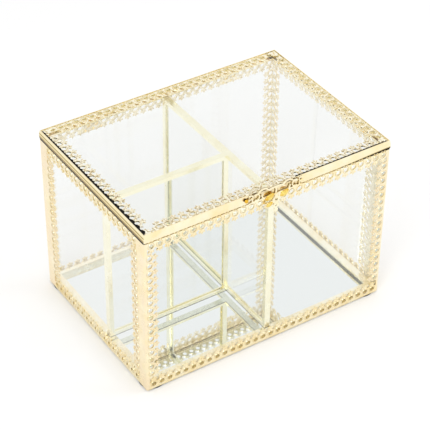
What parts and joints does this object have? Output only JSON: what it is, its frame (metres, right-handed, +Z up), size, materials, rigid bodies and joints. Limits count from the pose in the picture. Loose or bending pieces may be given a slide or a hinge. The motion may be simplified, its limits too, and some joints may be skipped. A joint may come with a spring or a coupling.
{
  "type": "glass jewelry box",
  "caption": "Rectangular clear glass jewelry box with pale gold lace edging, hinged lid, glass dividers over a mirror floor, and a scroll ornament on the lid's front.",
  "frame": {"origin": "middle of the footprint, on the surface that the feet stand on", "axes": "+X to the right along the long side, +Y from the ornament on the front to the hinges at the back, +Z up"},
  "size_m": [0.24, 0.177, 0.1675],
  "materials": {
    "champagne_gold": "polished pale gold plating",
    "amber_gold": "polished amber gold",
    "clear_glass": "clear polished",
    "mirror": "mirrored",
    "rubber": "matt"
  },
  "bodies": {
    "box_body": {"front_pane": "clear_glass", "back_pane": "clear_glass", "left_pane": "clear_glass", "right_pane": "clear_glass", "long_divider_pane": "clear_glass", "cross_divider_pane": "clear_glass", "mirror_floor": "mirror", "corner_post_front_left": "champagne_gold", "corner_post_front_right": "champagne_gold", "corner_post_back_left": "champagne_gold", "corner_post_back_right": "champagne_gold", "base_rail_front": "champagne_gold", "base_rail_back": "champagne_gold", "base_rail_left": "champagne_gold", "base_rail_right": "champagne_gold", "top_rim_front": "champagne_gold", "top_rim_back": "champagne_gold", "top_rim_left": "champagne_gold", "top_rim_right": "champagne_gold", "floor_trim_front": "champagne_gold", "floor_trim_back": "champagne_gold", "floor_trim_left": "champagne_gold", "floor_trim_right": "champagne_gold", "long_channel_bottom": "champagne_gold", "long_channel_top": "champagne_gold", "long_channel_front": "champagne_gold", "long_channel_back": "champagne_gold", "cross_channel_bottom": "champagne_gold", "cross_channel_top": "champagne_gold", "cross_channel_left": "champagne_gold", "cross_channel_right": "champagne_gold", "foot_front_left": "rubber", "foot_front_right": "rubber", "foot_back_left": "rubber", "foot_back_right": "rubber", "hinge_leaf_body_left": "champagne_gold", "hinge_leaf_body_right": "champagne_gold", "hinge_pin_left": "champagne_gold", "hinge_pin_right": "champagne_gold"},
    "lid": {"lid_pane": "clear_glass", "lid_rim_front": "champagne_gold", "lid_rim_back": "champagne_gold", "lid_rim_left": "champagne_gold", "lid_rim_right": "champagne_gold", "lid_lace_front": "champagne_gold", "lid_lace_back": "champagne_gold", "lid_lace_left": "champagne_gold", "lid_lace_right": "champagne_gold", "hinge_leaf_lid_left": "champagne_gold", "hinge_leaf_lid_right": "champagne_gold", "ornament_plate": "champagne_gold", "ornament_scroll": "champagne_gold", "ornament_tab": "champagne_gold", "ornament_petal_left": "amber_gold", "ornament_petal_right": "amber_gold", "ornament_petal_low": "amber_gold"}
  },
  "joints": [
    {"name": "lid_hinge", "type": "hinge", "parent": "box_body", "child": "lid", "pos_m": [0, 0.0869, 0.1564], "axis": [-1, 0, 0], "range_deg": [0, 100]}
  ]
}
